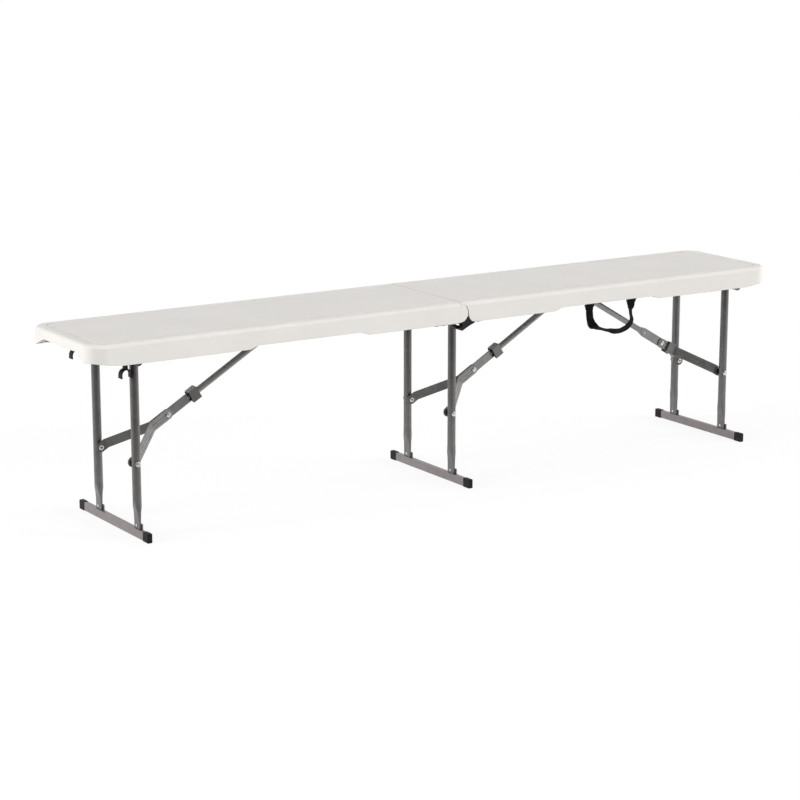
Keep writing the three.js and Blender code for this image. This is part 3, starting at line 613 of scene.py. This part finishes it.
# Each collar has a liner of thin black nylon, folded to three sides, that stops it rattling. It
# is pushed in from the collar's lower end and stands a little proud of it.
brace_run = 0.394
brace_rise = 0.2322
brace_angle = math.atan2(brace_rise, brace_run)
arm_length = 0.1426
collar_half = 0.01125
liner_half_y = 0.00798
liner_half_z = 0.01197
liner_proud = 0.0016
liner_short = 0.002
liner_fold = 0.0012
liner_sheet = 0.0004
liner_sharp_angle = math.radians(60)
collar_places = {"left": 0.074, "centre": 0.074, "right": -0.0295}


def on_brace(name, along):
    frame_x, frame_y = frame_places[name]
    pivot = Matrix.Translation((frame_x, frame_y, pivot_z))
    turn = Matrix.Rotation(math.pi if name == "right" else 0.0, 4, "Z")
    arm_rise = arm_length * math.sin(brace_angle)
    knee = Matrix.Translation((arm_length * math.cos(brace_angle), 0,
                               arm_rise - (pivot_z - arm_pivot_z)))
    slope = Matrix.Rotation(-brace_angle, 4, "Y")
    return pivot @ turn @ knee @ slope @ Matrix.Translation((along, 0, 0))


for name, along in collar_places.items():
    shape = bmesh.new()
    bmesh.ops.create_cube(shape, size=1.0)
    open_faces = [face for face in shape.faces
                  if abs(face.normal.x) > 0.5 or face.normal.z < -0.5]
    bmesh.ops.delete(shape, geom=open_faces, context="FACES_ONLY")
    folds = [edge for edge in shape.edges if len(edge.link_faces) == 2]
    size = (2 * collar_half + liner_proud - liner_short, 2 * liner_half_y, 2 * liner_half_z)
    bmesh.ops.scale(shape, vec=size, verts=shape.verts)
    bmesh.ops.bevel(shape, geom=folds, offset=liner_fold, affect="EDGES", segments=3,
                    profile=0.5, material=-1)
    bmesh.ops.translate(shape, vec=(-(liner_proud + liner_short) / 2, 0, 0), verts=shape.verts)
    shade(shape, liner_sharp_angle)
    shape.transform(on_brace(name, along))
    mesh = bpy.data.meshes.new(f"{name}_collar_liner")
    shape.to_mesh(mesh)
    shape.free()
    liner = add_piece(f"{name}_collar_liner", mesh, black_plastic, f"{name}_collar")
    sheet = liner.modifiers.new("sheet", "SOLIDIFY")
    sheet.thickness = liner_sheet
    sheet.offset = -1


# The foot caps, and the clips that hold the right frame's cross tube when the bench is folded,
# are injection moulded in black plastic with a spark-eroded grain.
clip_edge = 0.0004
for name in frame_names:
    for end in ends:
        finished(f"{name}_foot_cap_{end}", black_plastic)
for end in ends:
    finished(f"tube_clip_{end}", black_plastic, clip_edge)


# The leaves of the centre hinge and the anchors of the strap are stamped steel in a thin black
# coat, fixed under the rims of the seat halves.
anchor_edge = 0.0003


def black_coat():
    finish = Finish("black_coat")
    skin = finish.noise(1000.0, 2.0, 0.5)
    slow = finish.noise(90.0, 3.0, 0.5)
    colour = finish.blend(slow, (0.006, 0.006, 0.006, 1), (0.016, 0.016, 0.016, 1))
    finish.set(Base_Color=colour, Roughness=0.36 + 0.2 * slow, Specular_IOR_Level=0.3,
               Normal=finish.bump(skin, depth=0.00015, strength=0.5))
    return finish.material


black_steel = black_coat()
for side in ("left", "right"):
    for end in ends:
        finished(f"hinge_leaf_{side}_{end}", black_steel)
    finished(f"strap_anchor_{side}", black_steel, anchor_edge)


# Zinc-plated pan-head screws hold the saddles and the strut brackets up to the seat, two to
# each of them.
saddle_y = 0.048
saddle_screw_x = 0.0135
saddle_screw_z = 0.4047
bracket_screw_y = 0.0175
bracket_screw_z = 0.4052
screw_profile = [(0.0, 0.0008), (0.0012, 0.0008), (0.0014, 0.0021), (0.0026, 0.0020),
                 (0.0035, 0.0014), (0.0038, 0.0006), (0.0038, -0.0002), (0.0, -0.0002)]
screw_spots = {"left_half": [], "right_half": []}
for name, (frame_x, frame_y) in frame_places.items():
    body = "left_half" if name == "left" else "right_half"
    fold = -1 if name == "right" else 1
    for way in (-1, 1):
        for reach in (-saddle_screw_x, saddle_screw_x):
            screw_spots[body].append((frame_x + reach, way * saddle_y, saddle_screw_z))
        screw_spots[body].append((frame_x + fold * brace_run, frame_y + way * bracket_screw_y,
                                  bracket_screw_z))
for body, spots in screw_spots.items():
    together = bmesh.new()
    for spot in spots:
        place = Matrix.Translation(spot) @ Matrix.Rotation(math.pi, 4, "X")
        together.from_mesh(turned_mesh("screw", screw_profile, small_turned_steps, place))
    mesh = bpy.data.meshes.new(f"{body}_screws")
    together.to_mesh(mesh)
    together.free()
    add_piece(f"{body}_screws", mesh, zinc, body)


# The carry strap is flat black polypropylene webbing. It goes over the rod of each anchor, is
# sewn back on itself, and hangs in a loop that twists and turns back on the way round.
strap_left = 0.366
strap_span = 0.123
strap_y = -0.143
strap_rod_z = 0.3845
strap_width = 0.0200
strap_thick = 0.0014
strap_eye = 0.00265
strap_depth = 0.069
strap_cup = 0.0004
selvedge_radius = 0.0004
selvedge_sharp_angle = math.radians(60)
rib_pitch, yarn_pitch = 0.0021, 0.0016
hang_shares = [
    (0, 0.14), (0.002, 0.22), (0.022, 0.46), (0.075, 0.66), (0.19, 0.79), (0.34, 0.87), (0.5, 0.93),
    (0.66, 1), (0.82, 0.96), (0.94, 0.86), (1.015, 0.7), (1.005, 0.5), (0.99, 0.32), (1, 0.14),
]
hang_turns = [0, 0, 0, 0.3, 0.74, 0.8, 0.66, 0.48, 0.34, 0.24, 0.26, 0.4, 0.36, 0]
span_steps = 6
across_steps = 4


def rod_turn(x, way):
    tail = [(0.0021, -0.0095), (0.0024, -0.004), (0.0026, 0.0), (0.0019, 0.0019),
            (0.0, strap_eye), (-0.0019, 0.0019), (-0.0026, 0.0), (-0.0012, -0.005)]
    points = [Vector((x, strap_y + y, strap_rod_z + z)) for y, z in tail]
    return points if way > 0 else points[::-1]


strap_points = rod_turn(strap_left, 1)
strap_turns = [0.0] * len(strap_points)
for (share, down), turn in zip(hang_shares, hang_turns):
    drop = strap_eye + down * (strap_depth - strap_eye)
    strap_points.append(Vector((strap_left + share * strap_span, strap_y, strap_rod_z - drop)))
    strap_turns.append(turn)
far_turn = rod_turn(strap_left + strap_span, -1)
strap_points += far_turn
strap_turns += [0.0] * len(far_turn)

path, turns = [], []
for index in range(len(strap_points) - 1):
    here, there = strap_points[index], strap_points[index + 1]
    before = strap_points[max(index - 1, 0)]
    after = strap_points[min(index + 2, len(strap_points) - 1)]
    reach = (there - here).length
    lead = (there - before).normalized() * reach / 3
    trail = (after - here).normalized() * reach / 3
    steps = interpolate_bezier(here, here + lead, there - trail, there, span_steps + 1)
    path += [Vector(step) for step in steps[:-1]]
    for step in range(span_steps):
        share = step / span_steps
        ease = share * share * (3 - 2 * share)
        turns.append(strap_turns[index] * (1 - ease) + strap_turns[index + 1] * ease)
path.append(strap_points[-1])
turns.append(strap_turns[-1])

strap_shape = bmesh.new()
bmesh.ops.create_grid(strap_shape, x_segments=len(path) - 1, y_segments=across_steps, size=0.5,
                      calc_uvs=True)
carried = Vector((1, 0, 0))
wides = []
for index, spot in enumerate(path):
    along = (path[min(index + 1, len(path) - 1)] - path[max(index - 1, 0)]).normalized()
    carried = (carried - along * carried.dot(along)).normalized()
    wides.append((Matrix.Rotation(turns[index] * math.pi / 2, 3, along) @ carried, along))
for vert in strap_shape.verts:
    index = round((vert.co.x + 0.5) * (len(path) - 1))
    wide, along = wides[index]
    across = vert.co.y
    cup = along.cross(wide) * (strap_cup * (4 * across * across - 0.5))
    vert.co = path[index] + wide * (across * strap_width) + cup
for face in strap_shape.faces:
    face.smooth = True
strap_length = sum((second - first).length for first, second in zip(path, path[1:]))


def webbing_weave():
    finish = Finish("black_webbing")
    at = finish.place("UV")
    rib = (finish.along(at, 0) * (strap_length / rib_pitch)).wave() * 2.0
    yarn = (finish.along(at, 1) * (strap_width / yarn_pitch)).wave() * 2.0
    weft = rib * yarn
    edge = finish.between((finish.along(at, 1) - 0.5) ** 2.0, 0.19, 0.235)
    fuzz = finish.noise(2400.0, 3.0, 0.6)
    colour = finish.blend(weft, (0.002, 0.002, 0.002, 1), (0.013, 0.011, 0.010, 1))
    colour = finish.blend(edge * 0.5, colour, (0.003, 0.003, 0.003, 1))
    finish.set(Base_Color=colour, Roughness=0.78 + 0.12 * fuzz, Sheen_Weight=0.03,
               Sheen_Roughness=0.5, Specular_IOR_Level=0.15,
               Normal=finish.bump(weft + 0.35 * fuzz, depth=0.00035, strength=0.8))
    return finish.material


webbing = webbing_weave()
strap_mesh = bpy.data.meshes.new("carry_strap_webbing")
strap_shape.to_mesh(strap_mesh)
strap_shape.free()
strap = add_piece("carry_strap_webbing", strap_mesh, webbing, "strap")
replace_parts(strap, "carry_strap")
strap_sheet = strap.modifiers.new("webbing_thickness", "SOLIDIFY")
strap_sheet.thickness = strap_thick
strap_sheet.offset = 0
selvedge = strap.modifiers.new("selvedge", "BEVEL")
selvedge.width = selvedge_radius
selvedge.segments = 2
selvedge.limit_method = "ANGLE"
selvedge.angle_limit = selvedge_sharp_angle


# Each end of the strap is sewn back on itself by three rows of thick black thread, through both
# layers of the webbing.
stitch_rows = (-0.0045, -0.0062, -0.0079)
stitch_count = 6
stitch_span = 0.85
stitch_length = 0.0022
stitch_radius = 0.0003
stitch_front = 0.0022
stitch_sharp_angle = math.radians(80)
stitches = bmesh.new()
for x in (strap_left, strap_left + strap_span):
    for drop in stitch_rows:
        height = strap_rod_z + drop
        sewn = Vector((x, strap_y - stitch_front, height))
        near = min(range(len(path)), key=lambda spot: (path[spot] - sewn).length)
        for number in range(stitch_count):
            reach = (number - (stitch_count - 1) / 2) * strap_width * stitch_span / stitch_count
            made = bmesh.ops.create_uvsphere(stitches, u_segments=8, v_segments=6, radius=1.0)
            bmesh.ops.scale(stitches, vec=(stitch_length / 2, stitch_radius, stitch_radius),
                            verts=made["verts"])
            middle = path[near] + wides[near][0] * reach
            bmesh.ops.translate(stitches, verts=made["verts"],
                                vec=(middle.x, middle.y - strap_thick / 2, height))
shade(stitches, stitch_sharp_angle)
stitch_mesh = bpy.data.meshes.new("strap_stitches")
stitches.to_mesh(stitch_mesh)
stitches.free()
add_piece("strap_stitches", stitch_mesh, webbing, "strap")
